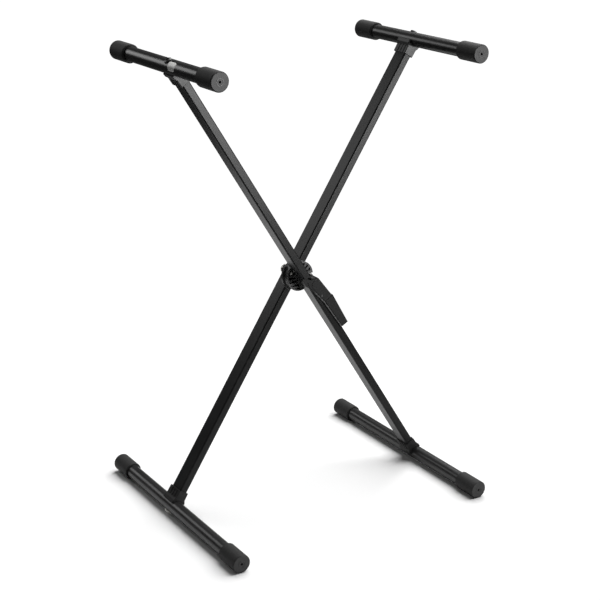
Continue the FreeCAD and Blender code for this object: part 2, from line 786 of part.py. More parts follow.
# Outlines in the front leg's own frame, as points across the leg and down along it from the pivot. The
# lever's right side runs down and its left side up. Its plate has a cheek at the upper left, a raised bead
# along its left edge with a groove beside it, and a raised ridge across its open top. The rear flange
# carries the pawl.
LEVER_RIGHT = [("17.0", "8.5"), ("18.8", "25.6"), ("21.9", "54.5"), ("19.2", "120")]
LEVER_LEFT = [("4.2", "120.8"), ("0.7", "54.5"), ("-6.3", "18"), ("cheek_across", "3"),
              ("cheek_across", "-9.5"), ("-9", "-12.5"), ("-1.6", "-5.6"), ("1.1", "-1"),
              ("5", "4.2"), ("8.8", "6"), ("14.3", "7.5")]
LEVER_CHEEK = [("cheek_across", "3"), ("cheek_across", "-9.5"), ("cheek_across + cheek_thick", "-9.5"),
               ("cheek_across + cheek_thick", "3")]
LEVER_BEAD = [("4.2", "120.8"), ("0.7", "54.5"), ("-6.3", "18"), ("-6.9", "8"), ("-5.9", "0.5"),
              ("-4", "0.5"), ("-4", "8"), ("-3.5", "18"), ("3.5", "54.5"), ("7", "120.7")]
LEVER_GROOVE = [("-3", "14.5"), ("-2.2", "14.2"), ("4.4", "52.5"), ("3.5", "52.7")]
LEVER_RIDGE = [("-1.4", "12.4"), ("16.8", "9.9"), ("14.3", "7.5"), ("8.8", "6"), ("-0.4", "8.9")]
FLANGE_LEFT = [("9", "120"), ("6", "62"), ("-0.6", "49"), ("-0.6", "36"), ("4", "31.5"), ("11.5", "28")]
GRIP_RIGHT = [("23.1", "grip_from"), ("20.4", "grip_to")]
PAWL_SPOTS = [("15", "-35.2"), ("15", "-30.6")]


def down(points):
    """Turn (across, down) pairs into the leg's own x and z."""
    return [(x, f"-({z})") for x, z in points]


def draw_lever_face(sketch):
    draw_outline(sketch, down(LEVER_RIGHT + LEVER_LEFT))


def draw_web(points):
    inner = [(f"{x} - sheet_thick", z) for x, z in reversed(points)]
    return lambda sketch: draw_outline(sketch, down(points + inner))


def make_lever():
    """A folded steel channel round the front leg: a wide front plate, a side web and a rear flange."""
    body = new_body("trigger_lever", -1)
    pad_between(body, PLATE_NEAR, PLATE_FAR, draw_lever_face)
    pad_between(body, PLATE_NEAR, f"{LEG_BACK} - 0.8", draw_web(LEVER_RIGHT))
    long_web = [("19.06", "28")] + LEVER_RIGHT[2:]
    pad_between(body, PLATE_NEAR, FLANGE_FAR, draw_web(long_web))
    pad_between(body, FLANGE_NEAR, FLANGE_FAR,
                lambda s: draw_outline(s, down(long_web + FLANGE_LEFT)))
    cut_both_ways(body, "across", "4 * leg_depth",
                  lambda s: draw_circle(s, "pin_across", "-pin_down", "pin_radius + pin_play"))
    for x, z in PAWL_SPOTS:
        cut_both_ways(body, "across", "2 * leg_gap",
                      lambda s: draw_circle(s, x, z, "rivet_radius"), LEG_BACK)
    pad_between(body, PLATE_NEAR, f"{PLATE_NEAR} + cheek_deep",
                lambda s: draw_outline(s, down(LEVER_CHEEK)))

    def front_bend(edge):
        to_the_right = edge.BoundBox.XMin > value("lever_bend_from")
        return to_the_right and is_side_edge(edge) and lies_at(edge, PLATE_NEAR)

    round_edges(body, "lever_round", front_bend)
    cut_both_ways(body, "across", "2 * groove_deep",
                  lambda s: draw_outline(s, down(LEVER_GROOVE)), PLATE_NEAR)
    top = f"{PLATE_NEAR} - bead_rise"
    longer = 3 * value("bead_round")
    for outline in (LEVER_BEAD, LEVER_RIDGE):
        pad_between(body, top, PLATE_NEAR, lambda s: draw_outline(s, down(outline)))
        round_edges(body, "bead_round",
                    lambda e: is_side_edge(e) and lies_at(e, top) and e.Length > longer)


def make_grip():
    """A moulded cover over the handle: a front pad and a side wall that wraps the web."""
    body = new_body("trigger_grip", -1)
    left = [("7.4", "grip_to"), ("4.1", "grip_from + 1"), ("4.4", "grip_from")]
    front = f"{PLATE_NEAR} - grip_thick"
    pad_between(body, front, PLATE_NEAR, lambda s: draw_outline(s, down(GRIP_RIGHT + left)))
    wall = down(GRIP_RIGHT + [("19.2", "grip_to"), ("19.2", "120"), ("21.9", "grip_from")])
    pad_between(body, front, FLANGE_FAR, lambda s: draw_outline(s, wall))
    round_edges(body, "grip_round", lambda e: is_side_edge(e) and lies_at(e, front))


def make_trigger_pin():
    """The trigger's hinge pin, fixed in the front leg, its ends flush with the lever's plates."""
    body = new_body("trigger_pin", -1)
    pad_between(body, PLATE_NEAR, FLANGE_FAR,
                lambda s: draw_circle(s, "pin_across", "-pin_down", "pin_radius"))
    round_edges(body, "pin_round", lambda e: lies_at(e, PLATE_NEAR))


def tooth_corner(back, aside):
    """A corner of the pawl's tooth, counted back from its tip and to one side of it."""
    reach = f"(tooth_tip + {back})"
    slip = f"(({aside}) + tooth_slip)"
    return (f"{reach} * cos(lock_angle) - {slip} * sin(lock_angle)",
            f"{reach} * sin(lock_angle) + {slip} * cos(lock_angle)")


def make_pawl():
    """The steel pawl on the lever's rear flange, with the tooth that drops into the plate's notches."""
    body = new_body("locking_pawl", -1)
    tooth = [
        tooth_corner("0", "-tooth_tip_half - 0.6"),
        tooth_corner("tooth_long", "-tooth_base_half - 0.8"),
    ]
    back = [
        tooth_corner("tooth_long", "tooth_base_half - 0.4"),
        tooth_corner("0", "tooth_tip_half - 0.6"),
    ]
    arm = down([("18.4", "25"), ("12.5", "28"), ("12.5", "38"), ("20.4", "38"), ("24", "28"), ("24", "17.5")])
    pad_between(body, "-pawl_front", "pawl_back", lambda s: draw_outline(s, tooth + arm + back))
    root = down([("12.5", "28"), ("12.5", "38"), ("19.9", "38"), ("21.4", "28")])
    pad_between(body, FLANGE_FAR, "-pawl_front + 0.2", lambda s: draw_outline(s, root))
    for x, z in PAWL_SPOTS:
        cut_both_ways(body, "across", "4 * leg_gap", lambda s: draw_circle(s, x, z, "rivet_radius"))


def make_spring_seat():
    """A peg on the leg's side that holds the return spring's fixed end."""
    peg = doc.addObject("Part::Cylinder", "Peg")
    bind(peg, Radius="seat_radius", Height="seat_rise")
    peg.Placement = FreeCAD.Placement(Vector(), Rotation(Vector(0, 1, 0), 90))
    bind(peg, Placement__Base__x=HALF_WIDTH, Placement__Base__y=f"-{LEG_Y}")
    bind(peg, Placement__Base__z="-spring_down")
    holder = doc.addObject("Part::Compound", "spring_seat")
    holder.Links = [peg]
    doc.recompute()
    place(holder, turn=lean(-1))
    finish(holder, "spring_seat")


def make_return_spring():
    """The compression spring between the leg's side and the lever's web, swept along its coil."""
    start = value(f"{HALF_WIDTH} + spring_wire + spring_gap")
    height = value("spring_reach - leg_width / 2 - 2 * spring_wire - 2 * spring_gap")
    radius = value("spring_radius")
    path = Part.Wire(Part.makeLongHelix(value("spring_pitch"), height, radius).Edges)
    ring = Part.Circle(Vector(radius, 0, 0), Vector(0, 1, 0), value("spring_wire"))
    coil = path.makePipeShell([Part.Wire([ring.toShape()])], True, True)
    middle = Vector(start, -value(LEG_Y), -value("spring_down"))
    coil.Placement = FreeCAD.Placement(middle, Rotation(Vector(0, 1, 0), 90))
    spring = doc.addObject("Part::Feature", "return_spring")
    spring.Shape = Part.Compound([coil])
    place(spring, turn=lean(-1))
    doc.recompute()
    finish(spring, "return_spring")


make_lever()
make_grip()
make_trigger_pin()
make_pawl()
make_rivets("pawl_rivets", -1, FLANGE_NEAR, "pawl_back", PAWL_SPOTS,
            f"{FLANGE_NEAR} - 0.9", FLANGE_NEAR, "pawl_rivet_head")
make_spring_seat()
make_return_spring()


# ---------------------------------------------------------------- label


def make_label():
    """A blank pale label with round corners, wrapped round the upper left of the left arm tube."""
    near = "label_along - label_long / 2"
    far = "label_along + label_long / 2"
    skin = cylinder("tube_radius + label_thick", near, far, "0", "leg_reach")
    core = cylinder("tube_radius", f"{near} - 1", f"{far} + 1", "0", "leg_reach")
    punch = block("label_across - label_wide / 2", near, "leg_reach", "label_wide", far, "2 * tube_radius")
    doc.recompute()
    rounded = doc.addObject("Part::Fillet", "Rounded")
    rounded.Base = punch
    up = Vector(0, 0, 1)
    corner = value("label_corner")
    uprights = [i + 1 for i, edge in enumerate(punch.Shape.Edges) if runs_along(edge, up)]
    rounded.Edges = [(index, corner, corner) for index in uprights]
    doc.recompute()
    label = overlap(take_away(skin, core), rounded)
    place(label, turn=lean(-1))
    finish(label, "blank_label")


make_label()

# ---------------------------------------------------------------- checks and export

doc.recompute()
for item in doc.Objects:
    if "Invalid" in item.State or "Error" in item.State:
        raise RuntimeError(f"{item.Label} failed: {item.State}")
os.makedirs("parts", exist_ok=True)
for item in SUB_PARTS:
    if item.Shape.isNull() or not item.Shape.isValid():
        raise RuntimeError(f"{item.Label} has no valid shape")
    item.Shape.exportStep(os.path.join("parts", f"{item.Label}.step"))
    box = item.Shape.BoundBox
    print(f"{item.Label}: {len(item.Shape.Solids)} solid, {item.Shape.Volume:.0f} mm3, "
          f"{box.XLength:.1f} x {box.YLength:.1f} x {box.ZLength:.1f} mm")
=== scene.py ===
import json
import math

import bpy
from mathutils import Matrix, Vector


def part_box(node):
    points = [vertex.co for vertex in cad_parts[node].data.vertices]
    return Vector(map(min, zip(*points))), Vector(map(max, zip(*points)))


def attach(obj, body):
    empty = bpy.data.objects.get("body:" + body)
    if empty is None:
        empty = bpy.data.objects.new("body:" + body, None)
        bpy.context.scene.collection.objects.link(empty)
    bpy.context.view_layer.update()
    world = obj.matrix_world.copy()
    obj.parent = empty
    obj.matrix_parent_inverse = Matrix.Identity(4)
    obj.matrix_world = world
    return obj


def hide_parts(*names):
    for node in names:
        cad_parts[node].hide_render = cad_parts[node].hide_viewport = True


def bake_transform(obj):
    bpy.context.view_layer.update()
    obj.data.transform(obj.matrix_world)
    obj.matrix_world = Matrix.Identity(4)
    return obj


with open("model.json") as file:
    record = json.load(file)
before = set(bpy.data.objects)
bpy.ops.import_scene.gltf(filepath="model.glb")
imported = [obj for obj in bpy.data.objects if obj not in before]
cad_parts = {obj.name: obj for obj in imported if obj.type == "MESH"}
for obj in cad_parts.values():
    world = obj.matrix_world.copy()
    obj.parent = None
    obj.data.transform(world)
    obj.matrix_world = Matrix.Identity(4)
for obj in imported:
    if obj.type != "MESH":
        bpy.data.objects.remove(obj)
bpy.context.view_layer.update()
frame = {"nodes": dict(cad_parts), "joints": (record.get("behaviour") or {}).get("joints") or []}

nodes = frame["nodes"]
scene = bpy.context.scene

MM = 0.001

# ---------------------------------------------------------------- where things are

PIVOT = Vector(next(j["pos_m"] for j in frame["joints"] if j["name"] == "leg_fold"))


def lean_of(tube):
    """The turn about Y of the leg that carries this arm tube."""
    low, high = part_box(tube)
    reach = (low + high) / 2 - PIVOT
    return math.atan2(reach.x, reach.z)


LEAN = {"front": lean_of("left_arm_tube"), "rear": lean_of("right_arm_tube")}
ENDS = {"front": ("left_arm", "right_foot"), "rear": ("right_arm", "left_foot")}
LEG_HALF_WIDE = 7.5 * MM


def leg_depth(leg):
    """The middle and the half of a leg's depth, front to back."""
    low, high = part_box(f"{leg}_leg")
    return (low.y + high.y) / 2, (high.y - low.y) / 2


# ---------------------------------------------------------------- camera

CAMERA_PLACE = Vector((-1.2591, -1.9678, 1.1846))
CAMERA_TURN = math.radians(32.72)
CAMERA_DIP = math.radians(19.32)
CAMERA_ROLL = math.radians(0.33)
LENS_MM = 82.75
SENSOR_MM = 36


def add_camera():
    """The scene's camera, turned from +Y towards +X, then dipped and rolled."""
    forward = Vector((
        math.sin(CAMERA_TURN) * math.cos(CAMERA_DIP),
        math.cos(CAMERA_TURN) * math.cos(CAMERA_DIP),
        -math.sin(CAMERA_DIP),
    ))
    level = Vector((math.cos(CAMERA_TURN), -math.sin(CAMERA_TURN), 0))
    upright = level.cross(forward)
    right = level * math.cos(CAMERA_ROLL) + upright * math.sin(CAMERA_ROLL)
    up = upright * math.cos(CAMERA_ROLL) - level * math.sin(CAMERA_ROLL)
    data = bpy.data.cameras.new("camera")
    data.lens = LENS_MM
    data.sensor_width = SENSOR_MM
    camera = bpy.data.objects.new("camera", data)
    scene.collection.objects.link(camera)
    turn = Matrix((right, up, -forward)).transposed().to_4x4()
    camera.matrix_world = Matrix.Translation(CAMERA_PLACE) @ turn
    scene.camera = camera


add_camera()

# ---------------------------------------------------------------- material nodes


class Value:
    """A socket that joins in Python sums, each of which adds a Math node."""

    def __init__(self, finish, socket):
        self.finish = finish
        self.socket = socket

    def math(self, operation, *others):
        values = dict(enumerate((self, *others)))
        return self.finish.node("ShaderNodeMath", {"operation": operation}, values)

    def __add__(self, other):
        return self.math("ADD", other)

    __radd__ = __add__

    def __mul__(self, other):
        return self.math("MULTIPLY", other)

    __rmul__ = __mul__

    def __sub__(self, other):
        return self.math("SUBTRACT", other)

    def __rsub__(self, other):
        return self.finish.node("ShaderNodeMath", {"operation": "SUBTRACT"}, {0: other, 1: self})

    def __abs__(self):
        return self.math("ABSOLUTE")

    def over(self, low, high):
        """How far the value is from low to high, held between 0 and 1."""
        values = {"Value": self, "From Min": low, "From Max": high}
        return self.finish.node("ShaderNodeMapRange", {"clamp": True}, values)


class Finish:
    """A material's nodes, added one call at a time and ending in one Principled shader."""

    def __init__(self, name, **constants):
        self.material = bpy.data.materials.new(name)
        self.material.use_nodes = True
        self.tree = self.material.node_tree
        self.tree.nodes.clear()
        self.shader = self.tree.nodes.new("ShaderNodeBsdfPrincipled")
        output = self.tree.nodes.new("ShaderNodeOutputMaterial")
        self.tree.links.new(self.shader.outputs["BSDF"], output.inputs["Surface"])
        self.set(**constants)

    def put(self, socket, value):
        if isinstance(value, Value):
            self.tree.links.new(value.socket, socket)
        elif isinstance(value, (tuple, list)) and socket.type == "RGBA" and len(value) == 3:
            socket.default_value = (*value, 1)
        else:
            socket.default_value = value

    def set(self, **inputs):
        """Set the shader's own sockets, an underscore standing for a space."""
        for name, value in inputs.items():
            self.put(self.shader.inputs[name.replace("_", " ")], value)

    def node(self, kind, settings=None, inputs=None, output=0):
        """Add a node with its settings and its inputs, by name or number, and give one of its outputs."""
        made = self.tree.nodes.new(kind)
        for name, value in (settings or {}).items():
            setattr(made, name, value)
        for name, value in (inputs or {}).items():
            self.put(made.inputs[name], value)
        return Value(self, made.outputs[output])

    def place(self, lean=0.0, stretch=(1, 1, 1)):
        """Where a point is on its leg, in metres: across it, to the back, and up along it."""
        here = self.node("ShaderNodeTexCoord", output="Object")
        inputs = {"Vector": here, "Location": PIVOT, "Rotation": (0, lean, 0), "Scale": stretch}
        return self.node("ShaderNodeMapping", {"vector_type": "TEXTURE"}, inputs)

    def split(self, vector):
        """The three parts of a vector."""
        return [self.node("ShaderNodeSeparateXYZ", None, {"Vector": vector}, i) for i in range(3)]

    def noise(self, place, scale, detail=2.0, roughness=0.5):
        """A cloudy value around a half, with about scale blotches to the metre."""
        inputs = {"Vector": place, "Scale": scale, "Detail": detail, "Roughness": roughness}
        return self.node("ShaderNodeTexNoise", None, inputs)

    def cells(self, place, scale, feature="F1"):
        """A pebbled value, with about scale cells to the metre."""
        return self.node("ShaderNodeTexVoronoi", {"feature": feature}, {"Vector": place, "Scale": scale})

    def mix(self, share, low, high):
        """A colour between low and high."""
        return self.node("ShaderNodeMix", {"data_type": "RGBA"}, {0: share, 6: low, 7: high}, 2)

    def bump(self, height, depth, strength):
        """A relief of this depth in metres, from a height between 0 and 1."""
        inputs = {"Height": height, "Distance": depth, "Strength": strength}
        return self.node("ShaderNodeBump", None, inputs)


# ---------------------------------------------------------------- finishes


def grey(level, warmth=0.0):
    """A grey of this level, more red and less blue by its warmth."""
    return (level * (1 + warmth), level, level * (1 - warmth))


EDGE_WEAR = 2.2 * MM


def powder_coat(name, lean, middle, half_deep):
    """Satin black powder coat on a rectangular leg: fine orange peel, rubbed edges, light handling marks."""
    f = Finish(name, Specular_IOR_Level=0.14)
    place = f.place(lean)
    across, back, _ = f.split(place)
    peel = f.noise(place, 1100, 3.0, 0.55)
    pebble = f.cells(place, 900)
    broad = f.noise(place, 14, 3.0)
    streaks = f.noise(f.place(lean, (0.02, 0.02, 0.5)), 6, 4.0, 0.6)
    side = (LEG_HALF_WIDE - abs(across)).over(EDGE_WEAR, 0.0)
    face = (half_deep - abs(back - middle)).over(EDGE_WEAR, 0.0)
    wear_and_highlight = side * face * f.noise(place, 60, 4.0, 0.7).over(0.5, 0.72)
    base = f.mix(broad, grey(0.010, -0.02), grey(0.016, -0.02))
    rubbed = f.mix(wear_and_highlight, base, grey(0.075, 0.02))
    dust = streaks.over(0.55, 0.8) * 0.16
    f.set(Base_Color=f.mix(dust, rubbed, grey(0.06, 0.03)))
    f.set(Roughness=0.27 + broad * 0.08 + streaks * 0.05 - wear_and_highlight * 0.05)
    f.set(Normal=f.bump(peel * 0.7 + pebble * 0.3, 0.06 * MM, 0.6))
    return f.material


def gloss_tube(name, lean):
    """Semi-gloss black on the round tubes, with faint rings of handling wear."""
    f = Finish(name, Specular_IOR_Level=0.4)
    place = f.place(lean)
    peel = f.noise(place, 700, 2.0)
    rings = f.noise(f.place(lean, (1, 0.05, 1)), 5, 4.0, 0.6)
    blotch = f.noise(place, 22, 4.0)
    scratches = f.noise(f.place(lean, (0.25, 0.006, 0.25)), 12, 3.0, 0.7).over(0.66, 0.74)
    base = f.mix(blotch, grey(0.008), grey(0.014))
    f.set(Base_Color=f.mix(scratches * 0.35, base, grey(0.05)))
    f.set(Roughness=0.25 + blotch * 0.08 + rings * 0.06 + scratches * 0.12)
    f.set(Normal=f.bump(peel, 0.04 * MM, 0.5))
    return f.material


def cap_rubber(name, lean, ends_at):
    """Matt black rubber: a fine moulded grain, pale bloom, scuffs, and smoother flat ends."""
    f = Finish(name, Specular_IOR_Level=0.28)
    place = f.place(lean)
    back = f.split(place)[1]
    flat = (abs(back) - ends_at).over(-1.2 * MM, -0.2 * MM)
    grain = f.noise(place, 1600, 3.0, 0.6)
    bloom = f.noise(place, 30, 5.0, 0.6)
    scuff = f.noise(f.place(lean, (1, 0.2, 1)), 90, 5.0, 0.75).over(0.56, 0.72)
    base = f.mix(bloom, grey(0.011), grey(0.019, 0.01))
    f.set(Base_Color=f.mix(scuff * 0.35, f.mix(flat, base, grey(0.036)), grey(0.06, 0.01)))
    f.set(Roughness=0.62 + bloom * 0.14 - scuff * 0.05 - flat * 0.3)
    f.set(Normal=f.bump(grain + scuff * 0.4, 0.08 * MM, 0.6))
    return f.material


def moulded_nylon(name, lean, level=0.02, gloss=0.42, shine=0.45):
    """Black moulded plastic with a spark-eroded grain and paler, flattened wear on its high spots."""
    f = Finish(name, Specular_IOR_Level=shine)
    place = f.place(lean)
    grain = f.cells(place, 1400)
    fine = f.noise(place, 2400, 2.0)
    flow = f.noise(f.place(lean, (0.3, 0.3, 1)), 40, 4.0, 0.65)
    rub = f.noise(place, 150, 4.0, 0.7).over(0.58, 0.75)
    base = f.mix(flow, grey(level * 0.8), grey(level * 1.25))
    f.set(Base_Color=f.mix(rub * 0.18, base, grey(level * 2.2)))
    f.set(Roughness=gloss + flow * 0.12 - rub * 0.06)
    f.set(Normal=f.bump(grain * 0.6 + fine * 0.4, 0.07 * MM, 0.6))
    return f.material


# The lever's left edge, across the front leg and down it from the pivot: its top, its fold and its tip.
LEVER_EDGE = [Vector((-6.3, 18)) * MM, Vector((0.7, 54.5)) * MM, Vector((4.2, 120.8)) * MM]
# Where the lever's painted highlights lie: a strip along its bead, and a band across its fold.
BEAD_WIDE = 2.6 * MM
BEAD_DEEP = 1.6 * MM
BEAD_FROM = 4 * MM
FOLD_BAND = 2.2 * MM
FOLD_RISE = 1.4 * MM


def lever_coat(name, lean, front_face):
    """The trigger lever's satin coat, lightly rubbed, with a painted highlight as a pale line along its bead
    and a paler painted band across its fold.
    """
    f = Finish(name, Specular_IOR_Level=0.12)
    place = f.place(lean)
    across, back, along = f.split(place)
    down = 0 - along
    top, fold, tip = LEVER_EDGE
    upper = (down - top.y) * ((fold.x - top.x) / (fold.y - top.y)) + top.x
    lower = (down - fold.y) * ((tip.x - fold.x) / (tip.y - fold.y)) + fold.x
    edge = upper.math("MINIMUM", lower)
    aside = abs(across - edge - BEAD_WIDE / 2)
    on_front = (back - front_face).over(BEAD_DEEP, 0.9 * MM)
    below_top = (down - top.y).over(BEAD_FROM, 3 * BEAD_FROM)
    bead = aside.over(BEAD_WIDE / 2, BEAD_WIDE / 4) * on_front * below_top
    clear_of_bead = (across - edge).over(2 * MM, 4 * MM)
    # Painted highlight: a pale band across the lever's fold, clear of the bead.
    fold_highlight = abs(down - fold.y + FOLD_RISE).over(FOLD_BAND, FOLD_BAND / 3) * clear_of_bead
    peel = f.noise(place, 1000, 3.0)
    broad = f.noise(place, 45, 4.0, 0.6)
    rub = f.noise(place, 110, 5.0, 0.7).over(0.6, 0.74)
    # Painted highlight: a pale, broken line on the strip along the lever's bead.
    wear_and_highlight = bead * f.noise(place, 260, 4.0, 0.6).over(0.3, 0.6)
    base = f.mix(broad, grey(0.014), grey(0.022))
    # Light rubbing wear, plus the painted fold highlight on the front face.
    rubbed = f.mix(rub * 0.3 + fold_highlight * on_front * 0.5, base, grey(0.07))
    f.set(Base_Color=f.mix(wear_and_highlight, rubbed, grey(0.24)))
    f.set(Roughness=0.40 + broad * 0.1 - rub * 0.08)
    f.set(Normal=f.bump(peel, 0.06 * MM, 0.5))
    return f.material


def grip_plastic(name, lean):
    """Black moulded plastic with a fine leather grain, on the grip."""
    f = Finish(name, Specular_IOR_Level=0.12)
    place = f.place(lean)
    leather = f.cells(place, 650, "DISTANCE_TO_EDGE").over(0.0, 0.25)
    fine = f.noise(place, 2200, 2.0)
    shine = f.noise(place, 35, 4.0, 0.6)
    f.set(Base_Color=f.mix(shine, grey(0.018), grey(0.028)))
    f.set(Roughness=0.46 + shine * 0.12)
    f.set(Normal=f.bump(leather * 0.7 + fine * 0.3, 0.08 * MM, 0.6))
    return f.material


def bare_steel(name, lean, level=0.42, roughness=0.3):
    """Bare oiled steel: fine grinding marks and a dull, patchy film."""
    f = Finish(name, Metallic=1.0)
    place = f.place(lean)
    ground = f.noise(f.place(lean, (1, 1, 0.03)), 30, 5.0, 0.7)
    film = f.noise(place, 80, 4.0, 0.6)
    f.set(Base_Color=f.mix(film, grey(level * 0.75, 0.03), grey(level * 1.1, 0.01)))
    f.set(Roughness=roughness + film * 0.18 + ground * 0.1)
    f.set(Normal=f.bump(ground, 0.05 * MM, 0.5))
    return f.material


def zinc_plate(name, lean):
    """Bright zinc plate, faintly yellow in patches and a little spangled."""
    f = Finish(name, Metallic=1.0)
    place = f.place(lean)
    spangle = f.cells(place, 420)
    cloud = f.noise(place, 120, 4.0, 0.6)
    f.set(Base_Color=f.mix(cloud, (0.56, 0.56, 0.54), (0.72, 0.71, 0.66)))
    f.set(Roughness=0.24 + cloud * 0.16 + spangle * 0.05)
    f.set(Normal=f.bump(cloud, 0.05 * MM, 0.4))
    return f.material


def black_oxide(name, lean):
    """Blackened steel, rubbed to bare metal in specks."""
    f = Finish(name, Specular_IOR_Level=0.5)
    place = f.place(lean)
    cloud = f.noise(place, 160, 5.0, 0.6)
    rub = f.noise(place, 240, 4.0, 0.7).over(0.58, 0.7)
    f.set(Base_Color=f.mix(rub * 0.5, f.mix(cloud, grey(0.012), grey(0.022)), grey(0.12)))
    f.set(Roughness=0.3 + cloud * 0.15)
    f.set(Metallic=rub * 0.6)
    f.set(Normal=f.bump(cloud, 0.06 * MM, 0.5))
    return f.material


def insert_nylon(name):
    """The off-white nylon ring of a locknut, a little scuffed by the thread."""
    f = Finish(name, Specular_IOR_Level=0.4)
    place = f.place()
    cloud = f.noise(place, 300, 4.0, 0.6)
    scuff = f.noise(place, 1500, 4.0, 0.7).over(0.5, 0.75)
    base = f.mix(cloud, (0.42, 0.43, 0.42), (0.55, 0.56, 0.54))
    f.set(Base_Color=f.mix(scuff * 0.4, base, (0.2, 0.2, 0.19)))
    f.set(Roughness=0.42 + scuff * 0.2)
    f.set(Normal=f.bump(scuff, 0.05 * MM, 0.4))
    return f.material


def label_film(name, lean):
    """A blank, pale film, grimy in patches."""
    f = Finish(name)
    place = f.place(lean)
    print_grain = f.noise(place, 900, 2.0)
    grime = f.noise(place, 130, 5.0, 0.7).over(0.5, 0.8)
    f.set(Base_Color=f.mix(grime * 0.4, (0.86, 0.86, 0.84), (0.55, 0.55, 0.53)))
    f.set(Roughness=0.38 + grime * 0.2)
    f.set(Normal=f.bump(print_grain, 0.03 * MM, 0.4))
    return f.material


# ---------------------------------------------------------------- the frame's own nodes


def dress(names, material):
    """Give some of the frame's own nodes a finish."""
    for name in names:
        data = nodes[name].data
        data.materials.clear()
        data.materials.append(material)


for leg, lean in LEAN.items():
    dress([f"{leg}_leg"], powder_coat(f"{leg}_leg_coat", lean, *leg_depth(leg)))
    tube = gloss_tube(f"{leg}_tube_gloss", lean)
    arm_nylon = moulded_nylon(f"{leg}_saddle_nylon", lean)
    # The foot saddles get a darker copy of the saddle nylon, which is painted shade, and less specular.
    foot_nylon_painted_shade = moulded_nylon(f"{leg}_foot_nylon_painted_shade", lean, 0.012, 0.45, 0.2)
    oxide = black_oxide(f"{leg}_anchor_oxide", lean)
    for end in ENDS[leg]:
        dress([f"{end}_tube"], tube)
        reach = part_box(f"{end}_rear_cap")[1].y
        rubber = cap_rubber(f"{end}_cap_rubber", lean, reach)
        dress([f"{end}_front_cap", f"{end}_rear_cap"], rubber)
        dress([f"{end}_saddle"], arm_nylon if "arm" in end else foot_nylon_painted_shade)
        dress([f"{end}_anchor"], oxide)

front, rear = LEAN["front"], LEAN["rear"]
# The front cover's copy of the nylon is paler than the rear's: painted light on its ribs.
dress(["hub_cover_front"], moulded_nylon("front_cover_nylon_painted_light", 0.0, 0.032, 0.32))
dress(["hub_cover_rear"], moulded_nylon("rear_cover_nylon", 0.0, 0.022, 0.4))
dress(["trigger_lever"], lever_coat("lever_coat", front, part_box("trigger_lever")[0].y))
dress(["trigger_grip"], grip_plastic("grip_plastic", front))
steel = bare_steel("plain_steel", front)
dress(["pivot_bush", "cover_rivets", "plate_rivets", "pawl_rivets", "spring_seat"], steel)
dress(["pivot_bolt", "trigger_pin"], black_oxide("pin_oxide", front))
dress(["notched_plate", "locking_pawl"], bare_steel("ground_steel", rear, 0.13, 0.3))
dress(["pivot_washer", "cover_screw"], zinc_plate("zinc_plate", front))
dress(["blank_label"], label_film("label_film", front))

# ---------------------------------------------------------------- modelled pieces

TUBE_RADIUS = 12.7 * MM
ARM_REACH = 470.0 * MM
SMOOTH_BELOW = math.radians(32)

BOLT_HEAD = 6.6 * MM
BOLT_SHANK = 4.0 * MM
BOLT_DOME = 3.2 * MM
BOLT_SKIRT = 2.6 * MM
DOME_STEPS = 6
DOME_RISE = 0.8 * BOLT_DOME
HEX_KEY = 5.0 * MM
HEX_DEEP = 2.4 * MM
SHANK_CHAMFER = 0.5 * MM
HEAD_EDGE = 0.22 * MM


def add_cylinder(radius, low, high, sides=48):
    """A closed cylinder about Z, from low to high."""
    bpy.ops.object.select_all(action="DESELECT")
    middle = (0, 0, (low + high) / 2)
    bpy.ops.mesh.primitive_cylinder_add(vertices=sides, radius=radius, depth=high - low, location=middle)
    piece = bpy.context.object
    bpy.ops.object.transform_apply(location=True, rotation=True, scale=True)
    return piece


def pick_faces(piece, wanted):
    """Go into edit mode with just the faces selected whose middle and normal satisfy wanted."""
    bpy.ops.object.mode_set(mode="EDIT")
    bpy.ops.mesh.select_mode(type="FACE")
    bpy.ops.mesh.select_all(action="DESELECT")
    bpy.ops.object.mode_set(mode="OBJECT")
    for face in piece.data.polygons:
        face.select = wanted(face.center, face.normal)
    bpy.ops.object.mode_set(mode="EDIT")


def step_face(inward, along):
    """Inset the selected end face and move it along Z, which makes one slope of a dome."""
    bpy.ops.mesh.inset(thickness=inward)
    bpy.ops.transform.translate(value=(0, 0, along))


def select_only(piece):
    """Make a piece the active one, and the only one selected."""
    bpy.ops.object.select_all(action="DESELECT")
    piece.select_set(True)
    bpy.context.view_layer.objects.active = piece


def drop(piece):
    """Remove an object together with its mesh."""
    mesh = piece.data
    bpy.data.objects.remove(piece)
    bpy.data.meshes.remove(mesh)


def apply_modifier(piece, kind, **settings):
    """Give a piece a modifier with these settings, and apply it."""
    modifier = piece.modifiers.new(kind.title(), kind)
    for name, value in settings.items():
        setattr(modifier, name, value)
    select_only(piece)
    bpy.ops.object.modifier_apply(modifier=modifier.name)


def combine(piece, tool, operation):
    """Cut, join or keep what both share, then drop the tool."""
    apply_modifier(piece, "BOOLEAN", operation=operation, solver="EXACT", object=tool)
    drop(tool)


def bevel(piece, width, segments=2, sharper_than=35):
    """Round the edges that turn by more than an angle in degrees."""
    limit = {"limit_method": "ANGLE", "angle_limit": math.radians(sharper_than)}
    apply_modifier(piece, "BEVEL", width=width, segments=segments, **limit)


def set_down(piece, name, matrix, material):
    """Give a finished piece its place in its mesh, its name, smooth shading and its finish."""
    piece.data.transform(matrix)
    piece.name = piece.data.name = name
    select_only(piece)
    bpy.ops.object.shade_smooth_by_angle(angle=SMOOTH_BELOW)
    piece.data.materials.clear()
    piece.data.materials.append(material)
    return piece


def copy_of(piece):
    """A second object with a mesh of its own."""
    twin = piece.copy()
    twin.data = piece.data.copy()
    scene.collection.objects.link(twin)
    return twin


